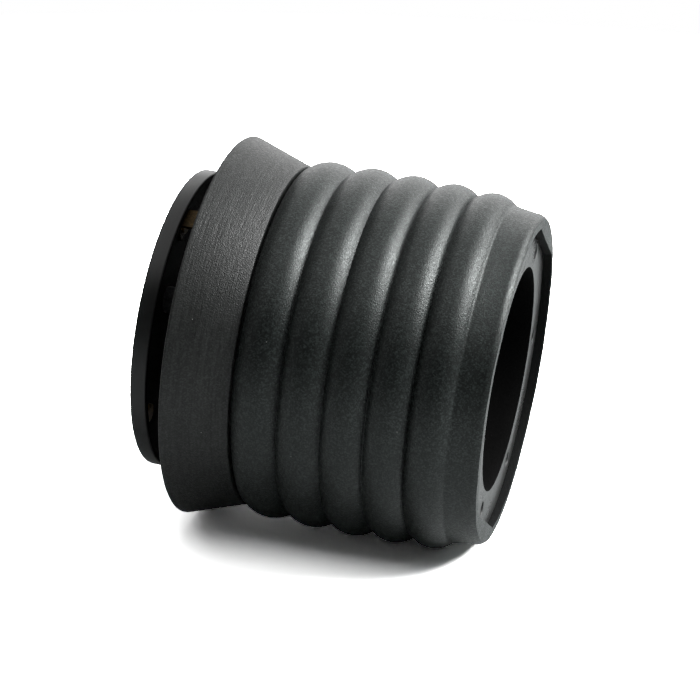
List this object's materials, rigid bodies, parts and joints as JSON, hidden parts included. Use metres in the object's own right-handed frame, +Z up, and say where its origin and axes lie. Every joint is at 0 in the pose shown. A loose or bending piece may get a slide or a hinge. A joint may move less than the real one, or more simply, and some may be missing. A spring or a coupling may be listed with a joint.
{
  "type": "steering wheel hub adapter",
  "caption": "Round ribbed hub adapter with a bolt ring round a wide opening in front, a flared skirt behind it, and a splined boss with a brass contact ring at the back.",
  "frame": {"origin": "centre of the wheel face, on the hub's axis", "axes": "+X along the hub's axis out of the wheel face, towards the steering wheel; +Z up with the hub lying on its side"},
  "size_m": [0.0985, 0.1036, 0.1036],
  "materials": {
    "shroud_rubber": "fine-grained satin black",
    "skirt_black": "turned, matte black anodised",
    "plate_black": "satin black powder coat",
    "tube_black": "matte black paint",
    "boss_alloy": "welded and machined",
    "bush_steel": "broached",
    "dowel_steel": "ground",
    "cap_screw_black": "black oxide",
    "washer_zinc": "zinc plated",
    "band_steel": "rolled strip",
    "pan_screw_black": "black zinc",
    "carrier_plastic": "satin moulded",
    "contact_brass": "rubbed bright",
    "contact_rivet_brass": "dull",
    "terminal_brass": "dull",
    "terminal_rivet_brass": "dull",
    "spacer_yellow_zinc": "yellow zinc plated",
    "carrier_screw_zinc": "yellow zinc plated",
    "cam_nylon": "natural nylon",
    "clip_spring_steel": "blued spring steel",
    "grommet_rubber": "matte"
  },
  "bodies": {
    "root": {"shroud": "shroud_rubber", "skirt_ring": "skirt_black", "front_plate": "plate_black", "crush_tube": "tube_black", "boss": "boss_alloy", "boss_flange": "boss_alloy", "boss_gussets": "boss_alloy", "spline_bush": "bush_steel", "bush_dowels": "dowel_steel", "tube_screws": "cap_screw_black", "tube_washers": "washer_zinc", "clamp_band": "band_steel", "skirt_screws": "pan_screw_black", "slip_ring_carrier": "carrier_plastic", "slip_ring": "contact_brass", "slip_ring_rivets": "contact_rivet_brass", "horn_terminal": "terminal_brass", "terminal_rivet": "terminal_rivet_brass", "carrier_spacers": "spacer_yellow_zinc", "carrier_screws": "carrier_screw_zinc", "cancel_cam": "cam_nylon", "cam_clip": "clip_spring_steel", "wire_grommet": "grommet_rubber"}
  },
  "joints": []
}
